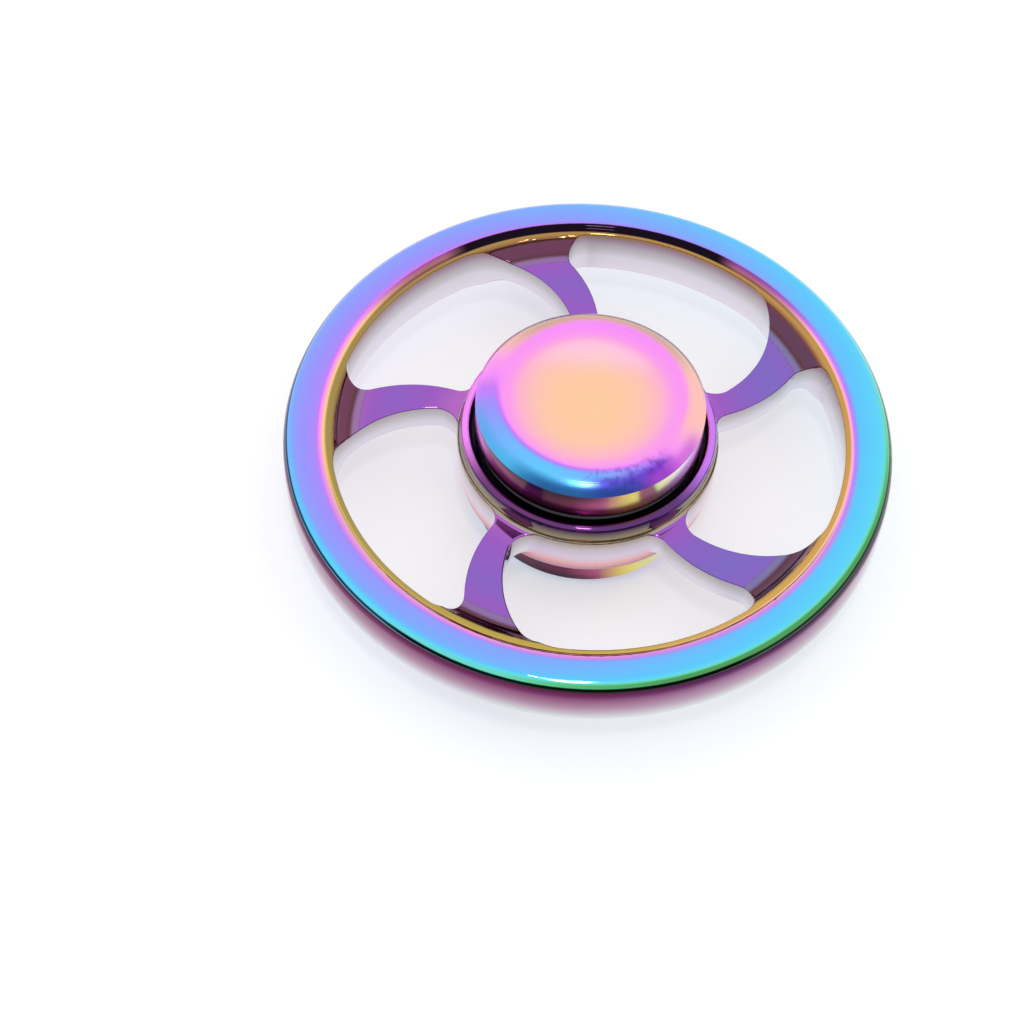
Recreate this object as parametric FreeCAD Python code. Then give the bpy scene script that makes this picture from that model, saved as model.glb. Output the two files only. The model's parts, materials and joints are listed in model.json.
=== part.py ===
"""Wheel-shaped fidget spinner: a spoked metal wheel on a ball bearing between two finger caps.

Millimetres, +Z up along the spin axis. The origin is the centre of the bearing. The upper and
lower halves mirror each other across the plane z = 0.
"""
import FreeCAD
import Part

import os
from math import atan2, cos, degrees, radians, sin, sqrt

from FreeCAD import Vector

# Wheel
RIM_RADIUS = 30.0
RIM_HALF = 3.25
RIM_EDGE_ROUND = 1.6
RIM_CROWN = 0.12
LIP_START = 26.6
HUB_RADIUS = 12.6
HUB_HALF = 3.5
HUB_FOOT_ROUND = 0.7
HUB_POCKET_RADIUS = 11.5
HUB_POCKET_FLOOR = 2.4
SPOKES = 5
SPOKE_TURN = 25.8
WINDOW_INNER = 12.9
WINDOW_OUTER = 25.3
WINDOW_EDGE_ROUND = 0.2

# The rim's lip, from its face inwards to a narrow ledge and down to the web: each bend's radius,
# the slope after it in degrees, and the length of the straight run that follows.
LIP_BENDS = ((0.8, 45, 0), (0.5, 10, 0.6), (0.3, 58, 0), (2.2, 0, 0))

# One spoke's two sides: (radius, angle) at the hub, half way and at the rim, in degrees
# measured from the spoke's own direction.
LEADING_SIDE = ((WINDOW_INNER, 1.4), (18.6, 6.2), (WINDOW_OUTER, 21.5))
TRAILING_SIDE = ((WINDOW_INNER, -8.9), (18.6, -4.9), (WINDOW_OUTER, 6.0))
FILLET_LEADING_HUB = 2.2
FILLET_LEADING_RIM = 5.0
FILLET_TRAILING_HUB = 1.6
FILLET_TRAILING_RIM = 2.0

# Ball bearing, 608 size
BEARING_BORE_RADIUS = 4.0
BEARING_RADIUS = 11.0
BEARING_HALF = 3.5
RACE_CHAMFER = 0.3
INNER_SHOULDER = 6.05
OUTER_SHOULDER = 8.9
PITCH_RADIUS = 7.5
BALLS = 7
BALL_RADIUS = 1.9845
BALL_CLEARANCE = 0.012
GROOVE_RADIUS = 2.064
SEAT_RADIUS = 9.6
SEAT_FLOOR = 2.65
SNAP_GROOVE_RADIUS = 9.8

# Cage
CAGE_SHEET = 0.35
CAGE_INNER = 6.75
CAGE_OUTER = 8.25
CAGE_CLEARANCE = 0.05
RIVET_RADIUS = 0.3
RIVET_HEAD_RADIUS = 0.5
RIVET_HEAD = 0.2

# Shields and snap rings
SHIELD_SHEET = 0.3
SHIELD_INNER = 6.2
SNAP_RING_HEIGHT = 0.3
SNAP_RING_INNER = 9.15
SNAP_RING_GAP = 16.0

# Caps and set screw
CAP_RADIUS = 11.2
CAP_BOTTOM = 3.75
CAP_BOTTOM_ROUND = 0.25
CAP_WALL_TOP = 7.0
CAP_TOP = 8.1
CAP_LAND_INNER = 8.0
CAP_LAND_OUTER = 8.8
CAP_DISH = 0.3
CAP_BOSS_RADIUS = 5.6
SPIGOT_RADIUS = 3.98
SPIGOT_GAP = 0.1
SCREW_RADIUS = 2.5
SCREW_HALF = 5.2
SCREW_HOLE_END = 5.6
SCREW_CHAMFER = 0.4
HEX_ACROSS_FLATS = 2.5
HEX_DEPTH = 2.0

AXIS = Vector(0, 0, 1)
ORIGIN = Vector(0, 0, 0)
NEARLY_ZERO = 1e-6


def polar(radius, angle, z=0.0):
    """Point at a radius and an angle in degrees."""
    return Vector(radius * cos(radians(angle)), radius * sin(radians(angle)), z)


def section(radius, z):
    """Point of a turned profile, in the XZ plane."""
    return Vector(radius, 0, z)


def line(start, end):
    return Part.LineSegment(section(*start), section(*end)).toShape()


def arc(start, middle, end):
    return Part.Arc(section(*start), section(*middle), section(*end)).toShape()


def corner(centre, radius, first, last):
    """Arc of a turned profile about a centre, from the first angle to the last."""
    points = []
    for angle in (first, (first + last) / 2, last):
        points.append((centre[0] + radius * cos(radians(angle)), centre[1] + radius * sin(radians(angle))))
    return arc(*points)


def turned(edges):
    """Solid of revolution about the spin axis."""
    wire = Part.Wire(Part.__sortEdges__(edges))
    return Part.Face(wire).revolve(ORIGIN, AXIS, 360)


def turned_polygon(points):
    """Solid of revolution of a straight-sided profile."""
    edges = [line(a, b) for a, b in zip(points, points[1:] + points[:1])]
    return turned(edges)


def ring(inner, outer, low, high):
    return turned_polygon([(inner, low), (outer, low), (outer, high), (inner, high)])


def mirrored(shape):
    """The same shape below the middle plane."""
    return shape.mirror(ORIGIN, AXIS)


def around(shape, count, step_angle):
    """Copies of a shape turned about the spin axis."""
    copies = []
    for index in range(count):
        copy = shape.copy()
        copy.rotate(ORIGIN, AXIS, index * step_angle)
        copies.append(copy)
    return copies


# Wheel body


def lip(point):
    """Edges of the rim's lip, from a point of the rim's face inwards, and the point where they end."""
    edges = []
    slope = 0
    for radius, next_slope, run in LIP_BENDS:
        crowned = next_slope > slope
        quarter = 90 if crowned else -90
        reach = radius if crowned else -radius
        centre = (point[0] + reach * sin(radians(slope)), point[1] - reach * cos(radians(slope)))
        edges.append(corner(centre, radius, slope + quarter, next_slope + quarter))
        slope = next_slope
        point = (centre[0] - reach * sin(radians(slope)), centre[1] + reach * cos(radians(slope)))
        if run:
            end = (point[0] - run * cos(radians(slope)), point[1] - run * sin(radians(slope)))
            edges.append(line(point, end))
            point = end
    return edges, point


def wheel_disc():
    """The turned wheel before its windows are cut: rim, thinner web, hub and bearing seat."""
    face = RIM_HALF - RIM_CROWN
    outer_centre = (RIM_RADIUS - RIM_EDGE_ROUND, face - RIM_EDGE_ROUND)
    crown_middle = ((outer_centre[0] + LIP_START) / 2, RIM_HALF)
    lip_edges, (foot_start, web) = lip((LIP_START, face))
    hub_round = (HUB_RADIUS - HUB_POCKET_RADIUS) / 2
    hub_centre = (HUB_POCKET_RADIUS + hub_round, HUB_HALF - hub_round)
    hub_foot = (HUB_RADIUS + HUB_FOOT_ROUND, web + HUB_FOOT_ROUND)
    upper = [
        line((RIM_RADIUS, 0), (RIM_RADIUS, outer_centre[1])),
        corner(outer_centre, RIM_EDGE_ROUND, 0, 90),
        arc((outer_centre[0], face), crown_middle, (LIP_START, face)),
        *lip_edges,
        line((foot_start, web), (hub_foot[0], web)),
        corner(hub_foot, HUB_FOOT_ROUND, 270, 180),
        line((HUB_RADIUS, hub_foot[1]), (HUB_RADIUS, hub_centre[1])),
        corner(hub_centre, hub_round, 0, 180),
        line((HUB_POCKET_RADIUS, hub_centre[1]), (HUB_POCKET_RADIUS, HUB_POCKET_FLOOR)),
        line((HUB_POCKET_RADIUS, HUB_POCKET_FLOOR), (BEARING_RADIUS, HUB_POCKET_FLOOR)),
        line((BEARING_RADIUS, HUB_POCKET_FLOOR), (BEARING_RADIUS, 0)),
    ]
    half = turned(upper + [line((BEARING_RADIUS, 0), (RIM_RADIUS, 0))])
    return half.fuse(mirrored(half)).removeSplitter()


def side_arc(side, turn):
    """One side of a spoke, as an arc from the hub to the rim."""
    points = [polar(radius, angle + turn) for radius, angle in side]
    return Part.Arc(*points).toShape()


def circle_arc(radius, first, last):
    """Arc of a circle about the spin axis, between two angles."""
    return Part.Arc(polar(radius, first), polar(radius, (first + last) / 2), polar(radius, last)).toShape()


def window():
    """Cutter for the opening between one spoke's leading side and the next one's trailing side."""
    next_spoke = 360 / SPOKES
    edges = [
        side_arc(LEADING_SIDE, 0),
        circle_arc(WINDOW_OUTER, LEADING_SIDE[2][1], TRAILING_SIDE[2][1] + next_spoke),
        side_arc(TRAILING_SIDE, next_spoke),
        circle_arc(WINDOW_INNER, LEADING_SIDE[0][1], TRAILING_SIDE[0][1] + next_spoke),
    ]
    face = Part.Face(Part.Wire(Part.__sortEdges__(edges)))
    face.translate(Vector(0, 0, -RIM_HALF))
    block = face.extrude(Vector(0, 0, 2 * RIM_HALF))
    corners = (
        (FILLET_LEADING_HUB, polar(WINDOW_INNER, LEADING_SIDE[0][1])),
        (FILLET_LEADING_RIM, polar(WINDOW_OUTER, LEADING_SIDE[2][1])),
        (FILLET_TRAILING_RIM, polar(WINDOW_OUTER, TRAILING_SIDE[2][1] + next_spoke)),
        (FILLET_TRAILING_HUB, polar(WINDOW_INNER, TRAILING_SIDE[0][1] + next_spoke)),
    )
    for radius, place in corners:
        block = block.makeFillet(radius, [upright_edge(block, place)])
    return block


def is_upright(edge):
    return edge.BoundBox.XLength + edge.BoundBox.YLength < NEARLY_ZERO


def upright_edge(block, place):
    """The block's vertical edge nearest to a place in plan."""
    upright = [edge for edge in block.Edges if is_upright(edge)]
    return min(upright, key=lambda edge: radius_in_plan(edge.CenterOfMass.sub(place)))


def radius_in_plan(point):
    return sqrt(point.x**2 + point.y**2)


def is_window_edge(edge):
    """Whether an edge runs around a window's mouth, on either side of the wheel."""
    if is_upright(edge) or len(edge.Vertexes) < 2:
        return False
    middle = edge.valueAt((edge.FirstParameter + edge.LastParameter) / 2)
    in_reach = WINDOW_INNER - NEARLY_ZERO < radius_in_plan(middle) < WINDOW_OUTER + NEARLY_ZERO
    return in_reach and not is_disc_edge(edge)


def is_disc_edge(edge):
    """Whether an edge is a circle left from the turned disc, not an end of a window."""
    if not isinstance(edge.Curve, Part.Circle) or radius_in_plan(edge.Curve.Center) > NEARLY_ZERO:
        return False
    return all(abs(edge.Curve.Radius - end) > NEARLY_ZERO for end in (WINDOW_INNER, WINDOW_OUTER))


def wheel_body():
    """Wheel disc opened by one window per spoke, with the windows' edges rounded."""
    cutter = window()
    cutter.rotate(ORIGIN, AXIS, SPOKE_TURN)
    body = wheel_disc().cut(around(cutter, SPOKES, 360 / SPOKES))
    return body.makeFillet(WINDOW_EDGE_ROUND, [edge for edge in body.Edges if is_window_edge(edge)])


# Ball bearing


def groove(pitch):
    return Part.makeTorus(pitch, GROOVE_RADIUS)


def outer_race():
    """Outer ring with its ball groove, and a stepped seat for a shield on each side."""
    chamfer_z = BEARING_HALF - RACE_CHAMFER
    snap_low = SEAT_FLOOR + SHIELD_SHEET
    snap_high = snap_low + SNAP_RING_HEIGHT
    upper = [
        (BEARING_RADIUS, chamfer_z),
        (BEARING_RADIUS - RACE_CHAMFER, BEARING_HALF),
        (SEAT_RADIUS, BEARING_HALF),
        (SEAT_RADIUS, snap_high),
        (SNAP_GROOVE_RADIUS, snap_high),
        (SNAP_GROOVE_RADIUS, snap_low),
        (SEAT_RADIUS, snap_low),
        (SEAT_RADIUS, SEAT_FLOOR),
        (OUTER_SHOULDER, SEAT_FLOOR),
    ]
    lower = [(radius, -z) for radius, z in reversed(upper)]
    groove_bottom = PITCH_RADIUS + BALL_RADIUS + BALL_CLEARANCE
    return turned_polygon(upper + lower).cut(groove(groove_bottom - GROOVE_RADIUS))


def inner_race():
    """Inner ring with its ball groove."""
    chamfer_z = BEARING_HALF - RACE_CHAMFER
    upper = [
        (INNER_SHOULDER, BEARING_HALF),
        (BEARING_BORE_RADIUS + RACE_CHAMFER, BEARING_HALF),
        (BEARING_BORE_RADIUS, chamfer_z),
    ]
    lower = [(radius, -z) for radius, z in reversed(upper)]
    groove_bottom = PITCH_RADIUS - BALL_RADIUS - BALL_CLEARANCE
    return turned_polygon(upper + lower).cut(groove(groove_bottom + GROOVE_RADIUS))


def balls(radius=BALL_RADIUS):
    """Spheres of a given radius about the ball centres."""
    first = Part.makeSphere(radius)
    first.translate(Vector(PITCH_RADIUS, 0, 0))
    return around(first, BALLS, 360 / BALLS)


def rivet_holes():
    """Pins through both halves of the cage, midway between the balls."""
    first = Part.makeCylinder(RIVET_RADIUS, 2 * CAGE_SHEET, polar(PITCH_RADIUS, 180 / BALLS, -CAGE_SHEET))
    return around(first, BALLS, 360 / BALLS)


def upper_cage():
    """Pressed ribbon: domes over the balls, joined by flats that meet the other half."""
    inside = BALL_RADIUS + CAGE_CLEARANCE
    domes = Part.makeCompound(balls(inside + CAGE_SHEET))
    flats = ring(CAGE_INNER, CAGE_OUTER, 0, CAGE_SHEET)
    band = ring(CAGE_INNER, CAGE_OUTER, 0, inside + 2 * CAGE_SHEET)
    ribbon = band.common(domes).fuse(flats)
    return ribbon.cut(balls(inside) + rivet_holes()).removeSplitter()


def rivets():
    """Seven rivets with a head on each side, in one group."""
    reach = CAGE_SHEET + RIVET_HEAD
    shank = [(0, -reach), (RIVET_HEAD_RADIUS, -reach), (RIVET_HEAD_RADIUS, -CAGE_SHEET)]
    shank += [(RIVET_RADIUS, -CAGE_SHEET), (RIVET_RADIUS, CAGE_SHEET)]
    shank += [(RIVET_HEAD_RADIUS, CAGE_SHEET), (RIVET_HEAD_RADIUS, reach), (0, reach)]
    first = turned_polygon(shank)
    first.translate(polar(PITCH_RADIUS, 180 / BALLS))
    return Part.makeCompound(around(first, BALLS, 360 / BALLS))


def upper_shield():
    """Thin disc in the outer ring's seat, with a running gap to the inner ring."""
    return ring(SHIELD_INNER, SEAT_RADIUS, SEAT_FLOOR, SEAT_FLOOR + SHIELD_SHEET)


def upper_snap_ring():
    """Split ring in the outer ring's groove, over the shield."""
    low = SEAT_FLOOR + SHIELD_SHEET
    whole = ring(SNAP_RING_INNER, SNAP_GROOVE_RADIUS, low, low + SNAP_RING_HEIGHT)
    reach = 2 * SNAP_GROOVE_RADIUS
    outline = [ORIGIN, polar(reach, -SNAP_RING_GAP / 2), polar(reach, SNAP_RING_GAP / 2), ORIGIN]
    gap = Part.Face(Part.makePolygon(outline)).extrude(Vector(0, 0, BEARING_HALF))
    return whole.cut(gap)


# Finger caps


def screw_hole():
    return Part.makeCylinder(SCREW_RADIUS, SCREW_HOLE_END)


def top_cap():
    """Finger cap: dished pad, flat land, rounded shoulder, side wall, boss and hollow spigot."""
    wall_foot = CAP_BOTTOM + CAP_BOTTOM_ROUND
    shoulder_run = CAP_RADIUS - CAP_LAND_OUTER
    shoulder_drop = CAP_TOP - CAP_WALL_TOP
    shoulder = (shoulder_run**2 + shoulder_drop**2) / (2 * shoulder_drop)
    steepest = degrees(atan2(shoulder - shoulder_drop, shoulder_run))
    dish = (CAP_LAND_INNER**2 + CAP_DISH**2) / (2 * CAP_DISH)
    dish_half = dish - sqrt(dish**2 - (CAP_LAND_INNER / 2) ** 2)
    pad = CAP_TOP - CAP_DISH
    edges = [
        arc((0, pad), (CAP_LAND_INNER / 2, pad + dish_half), (CAP_LAND_INNER, CAP_TOP)),
        line((CAP_LAND_INNER, CAP_TOP), (CAP_LAND_OUTER, CAP_TOP)),
        corner((CAP_LAND_OUTER, CAP_TOP - shoulder), shoulder, 90, steepest),
        line((CAP_RADIUS, CAP_WALL_TOP), (CAP_RADIUS, wall_foot)),
        corner((CAP_RADIUS - CAP_BOTTOM_ROUND, wall_foot), CAP_BOTTOM_ROUND, 0, -90),
        line((CAP_RADIUS - CAP_BOTTOM_ROUND, CAP_BOTTOM), (CAP_BOSS_RADIUS, CAP_BOTTOM)),
        line((CAP_BOSS_RADIUS, CAP_BOTTOM), (CAP_BOSS_RADIUS, BEARING_HALF)),
        line((CAP_BOSS_RADIUS, BEARING_HALF), (SPIGOT_RADIUS, BEARING_HALF)),
        line((SPIGOT_RADIUS, BEARING_HALF), (SPIGOT_RADIUS, SPIGOT_GAP)),
        line((SPIGOT_RADIUS, SPIGOT_GAP), (0, SPIGOT_GAP)),
        line((0, SPIGOT_GAP), (0, pad)),
    ]
    return turned(edges).cut(screw_hole())


def set_screw():
    """Headless screw with a hexagon socket in each end."""
    shoulder = SCREW_HALF - SCREW_CHAMFER
    tip = SCREW_RADIUS - SCREW_CHAMFER
    outline = [(0, -SCREW_HALF), (tip, -SCREW_HALF), (SCREW_RADIUS, -shoulder)]
    outline += [(SCREW_RADIUS, shoulder), (tip, SCREW_HALF), (0, SCREW_HALF)]
    corner_radius = HEX_ACROSS_FLATS / sqrt(3)
    corners = [polar(corner_radius, 60 * index, SCREW_HALF - HEX_DEPTH) for index in range(7)]
    socket = Part.Face(Part.makePolygon(corners)).extrude(Vector(0, 0, HEX_DEPTH))
    return turned_polygon(outline).cut([socket, mirrored(socket)])


def nodes():
    """Every piece of the spinner, by name."""
    pieces = {
        "wheel_body": wheel_body(),
        "bearing_outer_race": outer_race(),
        "bearing_inner_race": inner_race(),
        "bearing_cage_upper": upper_cage(),
        "bearing_cage_lower": mirrored(upper_cage()),
        "bearing_cage_rivets": rivets(),
        "bearing_shield_upper": upper_shield(),
        "bearing_shield_lower": mirrored(upper_shield()),
        "bearing_snap_ring_upper": upper_snap_ring(),
        "bearing_snap_ring_lower": mirrored(upper_snap_ring()),
        "finger_cap_top": top_cap(),
        "finger_cap_bottom": mirrored(top_cap()),
        "cap_set_screw": set_screw(),
    }
    for number, ball in enumerate(balls(), start=1):
        pieces[f"bearing_ball_{number}"] = ball
    return pieces


def main():
    os.makedirs("parts", exist_ok=True)
    for name, shape in nodes().items():
        shape.exportStep(f"parts/{name}.step")
        print(f"{name}: {len(shape.Solids)} solid(s), {shape.Volume:.2f} mm3, valid {shape.isValid()}")


main()
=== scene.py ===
"""Looks of a wheel-shaped fidget spinner with a rainbow film on polished metal, lying on its lower cap.

Metres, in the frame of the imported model: +Z is the spin axis and the origin is the bearing's centre.
The camera looks from about -Y, so "near" below is the -Y side and "far" the +Y side.
The film's colour follows one number, its phase: 0 is olive, and it rises through gold, peach, pink,
magenta, violet, blue and cyan to 1, which is green.
"""

import json
from math import cos, radians, sin

import bpy
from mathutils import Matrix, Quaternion, Vector


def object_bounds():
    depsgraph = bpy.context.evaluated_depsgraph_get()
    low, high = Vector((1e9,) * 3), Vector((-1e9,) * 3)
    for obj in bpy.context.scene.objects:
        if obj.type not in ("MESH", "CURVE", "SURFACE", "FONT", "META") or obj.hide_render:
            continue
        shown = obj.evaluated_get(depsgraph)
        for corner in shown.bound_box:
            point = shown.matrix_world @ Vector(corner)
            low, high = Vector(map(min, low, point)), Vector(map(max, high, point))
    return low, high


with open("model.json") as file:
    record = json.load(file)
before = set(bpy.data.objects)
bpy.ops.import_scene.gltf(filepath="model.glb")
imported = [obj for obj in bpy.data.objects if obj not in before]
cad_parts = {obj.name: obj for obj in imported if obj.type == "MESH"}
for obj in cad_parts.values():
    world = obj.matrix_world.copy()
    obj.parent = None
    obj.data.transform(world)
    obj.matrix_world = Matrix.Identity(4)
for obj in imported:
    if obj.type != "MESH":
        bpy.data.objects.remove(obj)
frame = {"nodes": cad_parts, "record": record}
cad_low, cad_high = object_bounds()

MM = 0.001

# Camera: the point it looks at, and its azimuth from -Y, elevation and roll in degrees
AIM = Vector((-6.76, -8.67, 0)) * MM
CAMERA_AZIMUTH = 2.72
CAMERA_ELEVATION = 55.29
CAMERA_ROLL = 2.5
CAMERA_DISTANCE = 250.4 * MM
LENS = 90.5
SENSOR = 36.0

# The dark open front of the light tent, in degrees each side of -Y and above the table
FRONT_WIDTH = 50.0
FRONT_HEIGHT = 18.0
FRONT_BLUR = 12.0
FRONT_COLOUR = (0.12, 0.12, 0.13, 1)

# Floor
FLOOR_HALF = 2.0
FLOOR_GLOW = 0.42

# How far the mottling shifts the film's phase, and how deep the fine bumps in the metal are
MOTTLE_SHIFT = 0.05
BUMP_DEPTH = 0.02 * MM

# Rings of the wheel's faces, as distances from the spin axis in millimetres
HUB_LIP = (11.5, 12.6)
HUB_FOOT = (12.62, 12.95)
SPOKES = (13.0, 22.6)
SPOKE_ENDS = (22.8, 23.6)
RIM_FOOT = (23.6, 24.9)
LEDGE = (25.05, 25.8)
RIM_LIP = (25.66, 26.34)
RIM_INNER_EDGE = (26.2, 26.6)
EDGE_ROUND = (28.2, 28.6)

# Colours laid over the film, from 0 to 255
# Painted shade: darkens the near side of the hub's lip
HUB_LIP_PAINTED_SHADE = (48, 18, 58)
# Painted shade: darkens the bearing pocket inside the hub's lip
POCKET_PAINTED_SHADE = (26, 12, 30)
SPOKE_VIOLET = (108, 60, 146)
SPOKE_END_GREY = (104, 104, 104)
# Painted shade: darkens the concave foot below the rim's lip
RIM_FOOT_PAINTED_SHADE = (92, 52, 50)
# The ledge's browner film, deepened on its far side by painted darker reflection
LEDGE_BROWN_AND_REFLECTION = (164, 108, 72)
INNER_EDGE_PINK = (210, 146, 214)
# Painted reflection: the magenta ends and black middle of a dark reflection on the far side of the rim's
# lip
RIM_LIP_PAINTED_MAGENTA_REFLECTION = (118, 36, 92)
RIM_LIP_PAINTED_DARK_REFLECTION = (14, 2, 20)
# Painted dark reflection round the rounding of the rim's outer edge
EDGE_PAINTED_DARK_REFLECTION = (20, 18, 34)
# Painted reflection: a red cast on the near left of the rim's wall
RIM_WALL_PAINTED_RED_REFLECTION = (130, 36, 60)
# Painted highlight on the far side of a cap's dish
DISH_PAINTED_HIGHLIGHT = (255, 214, 246)
SHOULDER_TAN = (182, 150, 112)
SHOULDER_PALE = (228, 214, 216)
SHOULDER_VIOLET = (84, 36, 200)
SPECKLE_VIOLET = (56, 16, 130)
# Painted reflection: makes the far side of the caps' wall pale
CAP_WALL_PAINTED_PALE_REFLECTION = (250, 206, 190)
# Painted shade on the near side of the caps' wall, above and below its middle
CAP_WALL_PAINTED_SHADE = (36, 12, 34)
# Painted shade: steel darkened towards its outer corner, in the dark gap under a cap
CORNER_PAINTED_SHADE = (30, 30, 34)

# Film colours by phase, as red, green and blue from 0 to 255
FILM = (
    (0.00, (150, 160, 90)),
    (0.10, (204, 182, 76)),
    (0.20, (240, 186, 104)),
    (0.26, (254, 205, 150)),
    (0.33, (254, 200, 172)),
    (0.40, (254, 182, 205)),
    (0.46, (252, 160, 235)),
    (0.52, (250, 145, 250)),
    (0.58, (205, 125, 248)),
    (0.65, (160, 145, 253)),
    (0.72, (130, 170, 253)),
    (0.80, (95, 200, 253)),
    (0.86, (95, 214, 250)),
    (0.90, (105, 218, 225)),
    (0.94, (104, 216, 190)),
    (0.97, (92, 200, 135)),
    (1.00, (80, 156, 90)),
)

# Phase on the wheel's faces by distance from the spin axis, in millimetres
WHEEL_FACE = (
    (11.5, 0.50),
    (12.0, 0.55),
    (12.7, 0.57),
    (13.3, 0.54),
    (16.0, 0.60),
    (20.0, 0.64),
    (22.4, 0.60),
    (24.8, 0.60),
    (25.0, 0.09),
    (25.75, 0.09),
    (25.9, 0.30),
    (26.1, 0.48),
    (26.35, 0.60),
    (26.7, 0.71),
    (28.2, 0.752),
    (28.8, 0.77),
    (30.0, 0.77),
)

# Phase on the caps' faces by distance from the spin axis, in millimetres
CAP_FACE = (
    (0.0, 0.285),
    (3.0, 0.305),
    (5.5, 0.35),
    (7.0, 0.405),
    (8.2, 0.48),
    (9.2, 0.50),
)

# Tints round the outer half of a cap's shoulder: the angle that each is centred on, in degrees from +X,
# how far towards it (as a cosine) the tint starts and is full, its strength and its colour
SHOULDER_TINTS_AND_DARK_REFLECTION = (
    (322, 0.90, 0.98, 0.6, (184, 70, 208)),
    (232, 0.60, 0.90, 0.6, (40, 176, 226)),
    # Painted dark reflection: this tint darkens the near shoulder's outer edge
    (268, 0.72, 0.97, 0.85, (12, 64, 140)),
)

# Colours on upright surfaces by height above the middle plane, in millimetres: film tones with painted
# reflection, darkest near the top
RIM_WALL = (
    (-2.5, (206, 222, 210)),
    (-1.7, (210, 214, 214)),
    (-1.0, (196, 176, 192)),
    (-0.2, (176, 144, 168)),
    (0.7, (158, 110, 146)),
    (1.4, (132, 70, 124)),
    (1.9, (96, 40, 92)),
    (2.4, (52, 20, 52)),
)
HUB_WALL = (
    (-3.3, (178, 124, 160)),
    (-2.3, (240, 180, 176)),
    (-1.5, (236, 196, 204)),
    (-0.6, (224, 212, 230)),
    (0.6, (204, 196, 204)),
    (1.5, (176, 162, 150)),
    (2.1, (150, 136, 98)),
    (2.7, (110, 96, 100)),
    (3.3, (60, 34, 70)),
)
WINDOW_WALL = (
    (-2.7, (236, 232, 240)),
    (-0.6, (226, 222, 232)),
    (0.4, (200, 198, 200)),
    (1.2, (186, 178, 184)),
    (1.9, (168, 144, 164)),
    (2.4, (150, 130, 110)),
    (2.7, (190, 150, 100)),
)

# Painted reflection colours on the caps' side wall, from its left side at -1 past the front at 0 to its
# right side at 1
CAP_WALL_PAINTED_REFLECTION = (
    (-1.00, (205, 195, 235)),
    (-0.65, (245, 225, 235)),
    (-0.50, (190, 90, 150)),
    (-0.20, (120, 40, 90)),
    (0.05, (88, 24, 60)),
    (0.30, (106, 30, 68)),
    (0.55, (180, 84, 128)),
    (0.74, (240, 220, 105)),
    (0.88, (242, 248, 160)),
    (0.97, (250, 250, 240)),
)


def linear(colour):
    """Linear red, green, blue and alpha of a colour given from 0 to 255."""
    channels = [c / 255 for c in colour]
    return [c / 12.92 if c <= 0.04045 else ((c + 0.055) / 1.055) ** 2.4 for c in channels] + [1.0]


class Graph:
    """A node tree, with short ways to add nodes and to join them."""

    def __init__(self, tree):
        self.tree = tree

    def add(self, kind, **settings):
        node = self.tree.nodes.new(kind)
        for name, value in settings.items():
            setattr(node, name, value)
        return node

    def feed(self, socket, value):
        """Joins a socket to another one, or sets it to a plain value."""
        if isinstance(value, bpy.types.NodeSocket):
            self.tree.links.new(value, socket)
        else:
            socket.default_value = value

    def math(self, operation, *values, clamp=False):
        node = self.add("ShaderNodeMath", operation=operation, use_clamp=clamp)
        for socket, value in zip(node.inputs, values):
            self.feed(socket, value)
        return node.outputs[0]

    def plus(self, first, second):
        return self.math("ADD", first, second)

    def times(self, *values):
        """A product, which for masks is the place where they overlap."""
        product = values[0]
        for value in values[1:]:
            product = self.math("MULTIPLY", product, value)
        return product

    def outside(self, mask):
        return self.math("SUBTRACT", 1.0, mask)

    def blend(self, factor, first, second):
        """A number between two others."""
        node = self.add("ShaderNodeMix", data_type="FLOAT")
        for socket, value in zip(node.inputs[:1] + node.inputs[2:4], (factor, first, second)):
            self.feed(socket, value)
        return node.outputs[0]

    def tint(self, factor, first, second):
        """A colour between two others."""
        node = self.add("ShaderNodeMix", data_type="RGBA")
        for socket, value in zip(node.inputs[:1] + node.inputs[6:8], (factor, first, second)):
            self.feed(socket, value)
        return node.outputs[2]

    def lay(self, under, mask, strength, colour):
        """A colour with another, given from 0 to 255, laid over it where the mask is 1."""
        return self.tint(self.times(mask, strength), under, linear(colour))

    def ease(self, value, low, high):
        """Rises smoothly from 0 where the value is low to 1 where it is high."""
        node = self.add("ShaderNodeMapRange", interpolation_type="SMOOTHSTEP")
        for socket, number in zip(node.inputs, (value, low, high, 0.0, 1.0)):
            self.feed(socket, number)
        return node.outputs[0]

    def band(self, value, low, high, blur):
        """1 where a value lies between two others, fading to 0 over a blur outside them."""
        rise = self.ease(value, low - blur, low)
        return self.math("SUBTRACT", rise, self.ease(value, high, high + blur))

    def ramp(self, value, stops):
        """A colour looked up in a list of places from 0 to 1 and colours."""
        node = self.add("ShaderNodeValToRGB")
        elements = node.color_ramp.elements
        while len(elements) < len(stops):
            elements.new(1.0)
        for element, (place, colour) in zip(elements, stops):
            element.position = place
            element.color = colour
        self.feed(node.inputs[0], value)
        return node.outputs[0]

    def profile(self, value, points):
        """A number looked up in a list of places and numbers, with straight runs between them."""
        reach = points[-1][0]
        stops = [(place / reach, (number, number, number, 1.0)) for place, number in points]
        return self.ramp(self.math("DIVIDE", value, reach), stops)

    def palette(self, value, points):
        """A colour looked up in a list of places and colours, with straight runs between them."""
        low, high = points[0][0], points[-1][0]
        stops = [((place - low) / (high - low), linear(colour)) for place, colour in points]
        share = self.math("DIVIDE", self.math("SUBTRACT", value, low), high - low)
        return self.ramp(share, stops)

    def noise(self, place, scale, detail=3.0, roughness=0.5):
        node = self.add("ShaderNodeTexNoise")
        settings = {"Vector": place, "Scale": scale, "Detail": detail, "Roughness": roughness}
        for name, value in settings.items():
            self.feed(node.inputs[name], value)
        return node.outputs[0]

    def bump(self, height, strength, distance):
        node = self.add("ShaderNodeBump")
        for name, value in (("Height", height), ("Strength", strength), ("Distance", distance)):
            self.feed(node.inputs[name], value)
        return node.outputs[0]


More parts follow.
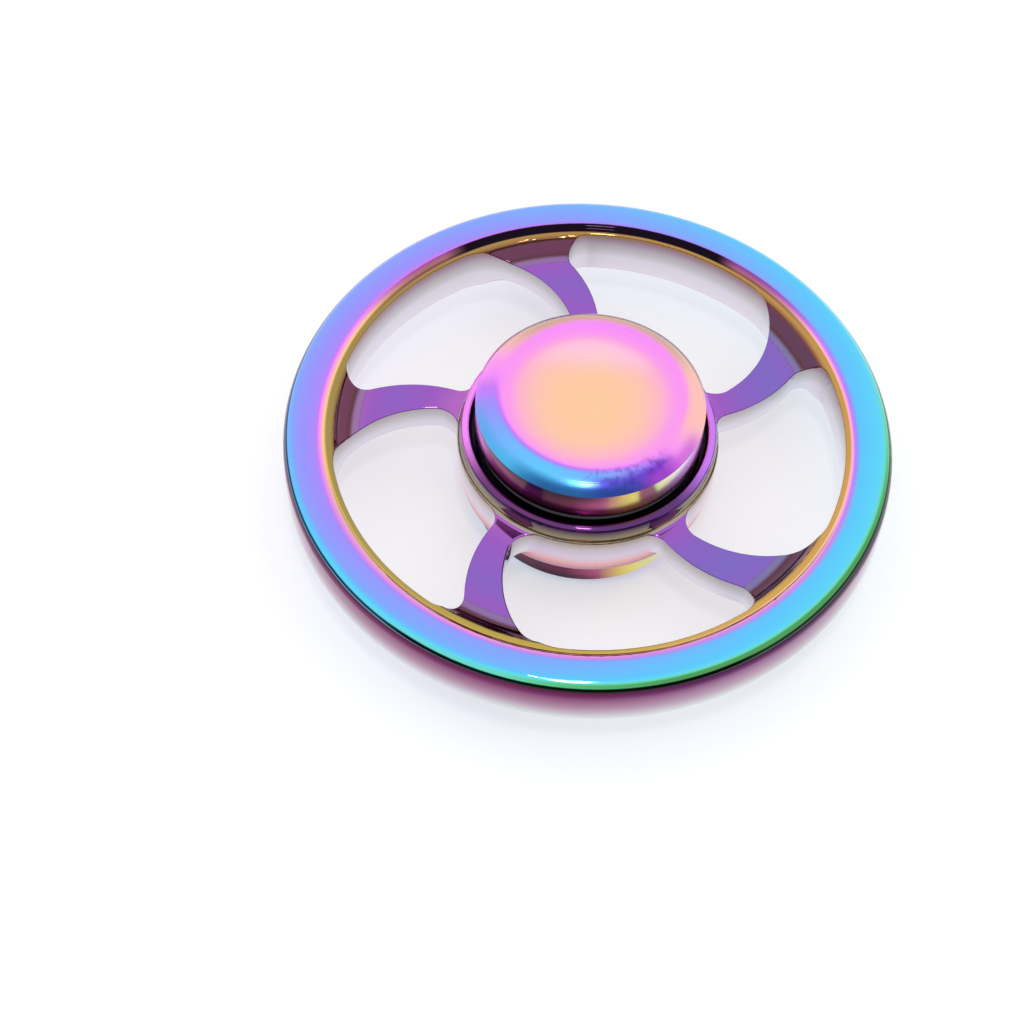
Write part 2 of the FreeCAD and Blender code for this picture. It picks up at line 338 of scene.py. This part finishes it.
class Place:
    """Where a point of the spinner is: its parts in millimetres, and which way its surface faces."""

    def __init__(self, graph):
        self.graph = graph
        coordinates = graph.add("ShaderNodeTexCoord")
        self.point = coordinates.outputs["Object"]
        scaled = graph.add("ShaderNodeVectorMath", operation="SCALE")
        graph.feed(scaled.inputs[0], self.point)
        scaled.inputs["Scale"].default_value = 1 / MM
        split = graph.add("ShaderNodeSeparateXYZ")
        graph.feed(split.inputs[0], scaled.outputs[0])
        self.x, self.y, self.z = split.outputs
        self.height = graph.math("ABSOLUTE", self.z)
        across = graph.plus(graph.times(self.x, self.x), graph.times(self.y, self.y))
        self.radius = graph.math("SQRT", across)
        facing = graph.add("ShaderNodeSeparateXYZ")
        graph.feed(facing.inputs[0], coordinates.outputs["Normal"])
        self.facing_up = graph.math("ABSOLUTE", facing.outputs[2])

    def towards(self, angle):
        """1 on the side of the spin axis that lies at an angle in degrees from +X, -1 opposite it."""
        graph = self.graph
        along_x = graph.times(self.x, cos(radians(angle)))
        along_y = graph.times(self.y, sin(radians(angle)))
        return graph.math("DIVIDE", graph.plus(along_x, along_y), graph.math("MAXIMUM", self.radius, 0.01))


def film_colour(graph, phase):
    return graph.ramp(phase, [(place, linear(colour)) for place, colour in FILM])


def new_material(name):
    """A material with only a metallic shader, and its graph."""
    material = bpy.data.materials.new(name)
    material.use_nodes = True
    graph = Graph(material.node_tree)
    shader = graph.tree.nodes["Principled BSDF"]
    shader.inputs["Metallic"].default_value = 1.0
    return material, graph, shader


def coat(shader, weight, roughness):
    shader.inputs["Coat Weight"].default_value = weight
    shader.inputs["Coat Roughness"].default_value = roughness


def wheel_face(graph, place, mottle):
    """Film on the wheel's faces: the hub's lip, the spokes, and the rim with its stepped lip. Painted
    shade darkens the near hub lip and the rim's foot, and painted dark reflection the far ledge, the far
    rim lip and the outer edge's rounding.
    """
    radius = place.radius
    on_edge = graph.ease(radius, *EDGE_ROUND)
    drift = graph.times(place.towards(348), graph.blend(graph.ease(radius, 20.0, 27.0), 0.03, 0.082))
    bend = graph.times(on_edge, graph.ease(graph.outside(place.facing_up), 0.0, 0.20))
    growth = graph.plus(0.08, graph.times(place.towards(285), 0.11))
    spread = graph.times(graph.ease(place.towards(270), -0.2, 0.8), graph.ease(radius, 25.8, 26.1), -0.3)
    phase = graph.profile(graph.plus(radius, spread), WHEEL_FACE)
    phase = graph.plus(phase, graph.plus(drift, graph.times(bend, growth)))
    face = film_colour(graph, graph.plus(phase, graph.times(mottle, MOTTLE_SHIFT)))

    # Painted shade on the near side of the hub's lip
    near_lip = graph.times(graph.ease(place.towards(268), 0.2, 0.7), graph.band(radius, *HUB_LIP, 0.1))
    face = graph.lay(face, near_lip, 0.85, HUB_LIP_PAINTED_SHADE)
    face = graph.lay(face, graph.band(radius, *SPOKES, 0.2), 0.62, SPOKE_VIOLET)
    face = graph.lay(face, graph.band(radius, *SPOKE_ENDS, 0.4), 0.7, SPOKE_END_GREY)
    # Painted shade in the concave foot below the rim's lip
    face = graph.lay(face, graph.band(radius, *RIM_FOOT, 0.5), 0.93, RIM_FOOT_PAINTED_SHADE)
    # Browner film on the ledge, stronger on the far side as painted darker reflection
    ledge_brown_and_far_reflection = graph.plus(0.45, graph.times(place.towards(90), 0.22))
    face = graph.lay(face, graph.band(radius, *LEDGE, 0.08), ledge_brown_and_far_reflection, LEDGE_BROWN_AND_REFLECTION)
    inner_edge = graph.band(radius, *RIM_INNER_EDGE, 0.28)
    near_edge = graph.times(graph.ease(place.towards(270), 0.0, 0.6), inner_edge)
    face = graph.lay(face, near_edge, 0.6, INNER_EDGE_PINK)
    lip = graph.band(radius, *RIM_LIP, 0.12)
    # Painted dark reflection on the far side of the rim's lip, magenta at its ends and black in its
    # middle, with mottled edges
    far_reflection_side = graph.plus(place.towards(93.5), graph.times(mottle, 0.2))
    face = graph.lay(face, graph.times(lip, graph.ease(far_reflection_side, 0.45, 0.78)), 0.75, RIM_LIP_PAINTED_MAGENTA_REFLECTION)
    face = graph.lay(face, graph.times(lip, graph.ease(far_reflection_side, 0.80, 0.88)), 1.0, RIM_LIP_PAINTED_DARK_REFLECTION)
    # Painted dark reflection: a dark band where the rim's outer rounding reaches a set slope
    edge_reflection_mask = graph.times(on_edge, graph.band(place.facing_up, 0.57, 0.66, 0.05))
    return graph.lay(face, edge_reflection_mask, 0.95, EDGE_PAINTED_DARK_REFLECTION)


def wheel_wall(graph, place, mottle):
    """Film with painted reflection on the wheel's upright surfaces: round the hub, in the windows and
    round the rim.
    """
    height = graph.plus(place.z, graph.times(mottle, 0.5))
    wall = graph.palette(height, HUB_WALL)
    wall = graph.tint(graph.ease(place.radius, 13.0, 13.3), wall, graph.palette(height, WINDOW_WALL))
    rim = graph.palette(height, RIM_WALL)
    # Painted red reflection on the near left of the rim's wall, towards its top
    painted_red_reflection = graph.times(graph.ease(place.towards(235), 0.4, 0.9), graph.ease(place.z, -1.2, 0.8))
    rim = graph.lay(rim, painted_red_reflection, 0.25, RIM_WALL_PAINTED_RED_REFLECTION)
    return graph.tint(graph.ease(place.radius, 28.0, 29.0), wall, rim)


def polished_wheel():
    """Mirror-polished metal under the film, with faint mottling, wiping marks and polishing ripple."""
    material, graph, shader = new_material("rainbow_polished")
    place = Place(graph)
    mottle = graph.math("SUBTRACT", graph.noise(place.point, 55.0), 0.5)

    inner_upright = graph.outside(graph.ease(place.facing_up, 0.15, 0.48))
    rim_upright = graph.outside(graph.ease(place.facing_up, 0.48, 0.56))
    upright = graph.blend(graph.ease(place.radius, 28.0, 28.4), inner_upright, rim_upright)
    upright = graph.math("MAXIMUM", upright, graph.band(place.radius, *HUB_FOOT, 0.06))
    colour = graph.tint(upright, wheel_face(graph, place, mottle), wheel_wall(graph, place, mottle))
    # Painted shade in the bearing pocket, where the gap round the cap falls dark
    pocket = graph.outside(graph.ease(place.radius, 11.52, 11.60))
    graph.feed(shader.inputs["Base Color"], graph.lay(colour, pocket, 1.0, POCKET_PAINTED_SHADE))

    wiping = graph.noise(place.point, 160.0, 5.0, 0.65)
    graph.feed(shader.inputs["Roughness"], graph.blend(graph.ease(wiping, 0.40, 0.75), 0.05, 0.12))
    ripple = graph.noise(place.point, 420.0, 2.0)
    graph.feed(shader.inputs["Normal"], graph.bump(ripple, 0.008, BUMP_DEPTH))
    coat(shader, 0.12, 0.03)
    return material


def cap_face(graph, place, mottle):
    """Film on a cap's dish and on the shoulder round it, with a painted highlight on the dish and painted
    dark reflection on the near shoulder.
    """
    near = place.towards(245)
    dish = graph.plus(graph.profile(place.radius, CAP_FACE), graph.times(place.y, 0.003))
    shoulder = graph.math("MAXIMUM", graph.plus(0.45, graph.times(near, 0.34)), 0.36)
    on_shoulder = graph.ease(graph.plus(place.radius, graph.times(near, 0.5)), 8.6, 9.8)
    phase = graph.blend(on_shoulder, dish, shoulder)
    face = film_colour(graph, graph.plus(phase, graph.times(mottle, MOTTLE_SHIFT)))

    # Painted highlight on the far side of the dish
    dish_highlight = graph.times(graph.ease(place.y, 2.5, 6.0), graph.band(place.radius, 0.0, 6.2, 1.4))
    face = graph.lay(face, dish_highlight, 0.45, DISH_PAINTED_HIGHLIGHT)
    far = graph.times(on_shoulder, graph.ease(place.towards(85), 0.35, 0.85))
    face = graph.lay(face, far, 0.7, SHOULDER_TAN)
    face = graph.lay(face, graph.times(far, graph.ease(place.radius, 10.1, 10.9)), 0.8, SHOULDER_PALE)
    violet = graph.times(on_shoulder, graph.ease(place.towards(297), 0.86, 0.97))
    face = graph.lay(face, graph.times(violet, graph.ease(place.radius, 9.2, 10.2)), 0.85, SHOULDER_VIOLET)
    speckle = graph.ease(graph.noise(place.point, 1500.0, 4.0), 0.45, 0.62)
    face = graph.lay(face, graph.times(violet, speckle), 0.4, SPECKLE_VIOLET)
    outer = graph.ease(place.radius, 9.8, 10.9)
    # The tints colour the shoulder's outer half; the dark blue one on the near side is painted dark
    # reflection
    for angle, low, high, strength, colour in SHOULDER_TINTS_AND_DARK_REFLECTION:
        side = graph.ease(place.towards(angle), low, high)
        face = graph.lay(face, graph.times(outer, side), strength, colour)
    return face


def cap_wall(graph, place):
    """Painted reflection on a cap's side wall, paler on its far side, with painted shade above and below a
    lit band on its near side.
    """
    wall = graph.palette(place.towards(337), CAP_WALL_PAINTED_REFLECTION)
    wall = graph.lay(wall, graph.ease(place.towards(67), 0.0, 0.35), 0.85, CAP_WALL_PAINTED_PALE_REFLECTION)
    # Painted shade: the near side is darkened outside a lit band at mid height
    lit = graph.band(place.height, 4.7, 5.7, 1.2)
    shaded = graph.times(graph.outside(lit), graph.ease(place.towards(238), 0.6, 0.9))
    return graph.lay(wall, shaded, 0.8, CAP_WALL_PAINTED_SHADE)


def satin_cap():
    """Fine-turned satin metal under the film, with a smoother side wall."""
    material, graph, shader = new_material("rainbow_satin")
    place = Place(graph)
    mottle = graph.math("SUBTRACT", graph.noise(place.point, 140.0), 0.5)
    upright = graph.outside(graph.ease(place.facing_up, 0.15, 0.45))
    colour = graph.tint(upright, cap_face(graph, place, mottle), cap_wall(graph, place))
    graph.feed(shader.inputs["Base Color"], colour)

    turning = graph.add("ShaderNodeTexNoise", noise_dimensions="1D")
    graph.feed(turning.inputs["W"], place.radius)
    turning.inputs["Scale"].default_value = 9.0
    turning.inputs["Detail"].default_value = 4.0
    satin = graph.ease(place.facing_up, 0.35, 0.6)
    graph.feed(shader.inputs["Roughness"], graph.blend(satin, 0.20, 0.24))
    grain = graph.noise(place.point, 2600.0, 2.0)
    texture = graph.plus(turning.outputs[0], graph.times(grain, 0.8))
    graph.feed(shader.inputs["Normal"], graph.bump(graph.times(texture, satin), 0.4, BUMP_DEPTH))
    coat(shader, 0.25, 0.12)
    return material


def plain_steel(name, colour, roughness, grain_scale):
    """Bare or blackened steel with a fine grain and a patchy sheen, darkened towards its outer corner as
    painted shade.
    """
    material, graph, shader = new_material(name)
    place = Place(graph)
    cloud = graph.noise(place.point, 300.0)
    darker = [channel * 0.72 for channel in linear(colour)[:3]] + [1.0]
    steel = graph.tint(cloud, darker, linear(colour))
    # Painted shade from 9.7 mm out from the spin axis, full beyond 10.6 mm
    steel = graph.lay(steel, graph.ease(place.radius, 9.7, 10.6), 0.95, CORNER_PAINTED_SHADE)
    graph.feed(shader.inputs["Base Color"], steel)
    grain = graph.noise(place.point, grain_scale, 4.0)
    graph.feed(shader.inputs["Roughness"], graph.blend(grain, roughness * 0.7, roughness * 1.3))
    graph.feed(shader.inputs["Normal"], graph.bump(grain, 0.15, BUMP_DEPTH))
    return material


def dress(materials):
    """Gives each CAD node the finish of its slot."""
    for part in frame["record"]["subparts"]:
        for slot in frame["nodes"][part["node"]].material_slots:
            slot.material = materials[part["material_slot"]]


def make_floor():
    """Pale matt table under the lower cap."""
    mesh = bpy.data.meshes.new("floor")
    signs = ((-1, -1), (1, -1), (1, 1), (-1, 1))
    corners = [(east * FLOOR_HALF, north * FLOOR_HALF, cad_low.z) for east, north in signs]
    mesh.from_pydata(corners, [], [(0, 1, 2, 3)])
    floor = bpy.data.objects.new("floor", mesh)
    bpy.context.scene.collection.objects.link(floor)
    material, graph, shader = new_material("floor_paper")
    shader.inputs["Metallic"].default_value = 0.0
    shader.inputs["Roughness"].default_value = 0.85
    cloud = graph.noise(graph.add("ShaderNodeTexCoord").outputs["Object"], 9.0)
    paper = graph.tint(cloud, linear((203, 203, 205)), linear((208, 208, 208)))
    graph.feed(shader.inputs["Base Color"], paper)
    shader.inputs["Emission Color"].default_value = (1.0, 1.0, 1.0, 1.0)
    shader.inputs["Emission Strength"].default_value = FLOOR_GLOW
    mesh.materials.append(material)


def make_world():
    """White surroundings, dark and low behind the camera, as a light tent's open front is."""
    world = bpy.data.worlds.new("studio")
    bpy.context.scene.world = world
    world.use_nodes = True
    graph = Graph(world.node_tree)
    background = graph.tree.nodes["Background"]
    split = graph.add("ShaderNodeSeparateXYZ")
    graph.feed(split.inputs[0], graph.add("ShaderNodeTexCoord").outputs["Generated"])
    east, north, up = split.outputs
    level = graph.math("SQRT", graph.plus(graph.times(east, east), graph.times(north, north)))
    south = graph.math("DIVIDE", graph.times(north, -1.0), graph.math("MAXIMUM", level, 0.001))
    front = graph.ease(south, cos(radians(FRONT_WIDTH + FRONT_BLUR)), cos(radians(FRONT_WIDTH)))
    high = graph.ease(up, sin(radians(FRONT_HEIGHT)), sin(radians(FRONT_HEIGHT + FRONT_BLUR)))
    glossy = graph.add("ShaderNodeLightPath").outputs["Is Glossy Ray"]
    dark = graph.times(front, graph.outside(high), glossy)
    graph.feed(background.inputs["Color"], graph.tint(dark, (1.0, 1.0, 1.0, 1), FRONT_COLOUR))
    background.inputs["Strength"].default_value = 1.0


def direction(azimuth, elevation):
    """Unit vector at an azimuth from -Y towards +X and an elevation, both in degrees."""
    flat = cos(radians(elevation))
    return Vector((sin(radians(azimuth)) * flat, -cos(radians(azimuth)) * flat, sin(radians(elevation))))


def soft_box(name, azimuth, elevation, distance, size, power):
    """Area light turned to the spinner's centre."""
    back = direction(azimuth, elevation)
    data = bpy.data.lights.new(name, "AREA")
    data.shape = "RECTANGLE"
    data.size, data.size_y = size
    data.energy = power
    light = bpy.data.objects.new(name, data)
    bpy.context.scene.collection.objects.link(light)
    light.location = back * distance
    light.rotation_mode = "QUATERNION"
    light.rotation_quaternion = (-back).to_track_quat("-Z", "Y")


def make_camera():
    data = bpy.data.cameras.new("camera")
    data.lens = LENS
    data.sensor_width = SENSOR
    data.clip_start = 0.01
    camera = bpy.data.objects.new("camera", data)
    bpy.context.scene.collection.objects.link(camera)
    back = direction(CAMERA_AZIMUTH, CAMERA_ELEVATION)
    camera.location = AIM + back * CAMERA_DISTANCE
    camera.rotation_mode = "QUATERNION"
    roll = Quaternion((0, 0, 1), radians(CAMERA_ROLL))
    camera.rotation_quaternion = (-back).to_track_quat("-Z", "Y") @ roll
    bpy.context.scene.camera = camera


make_camera()
make_floor()
make_world()
soft_box("key", azimuth=3, elevation=70, distance=0.5, size=(0.05, 0.07), power=0.3)
dress({
    "wheel_rainbow_polished": polished_wheel(),
    "cap_rainbow_satin": satin_cap(),
    "bearing_steel": plain_steel("ground_steel", (206, 207, 210), 0.18, 900.0),
    "cage_steel": plain_steel("pressed_steel", (186, 186, 188), 0.34, 1400.0),
    "shield_steel": plain_steel("shield_sheet", (196, 197, 200), 0.28, 1800.0),
    "screw_steel": plain_steel("black_oxide", (52, 52, 56), 0.42, 1600.0),
})
bpy.context.scene.view_settings.view_transform = "Standard"
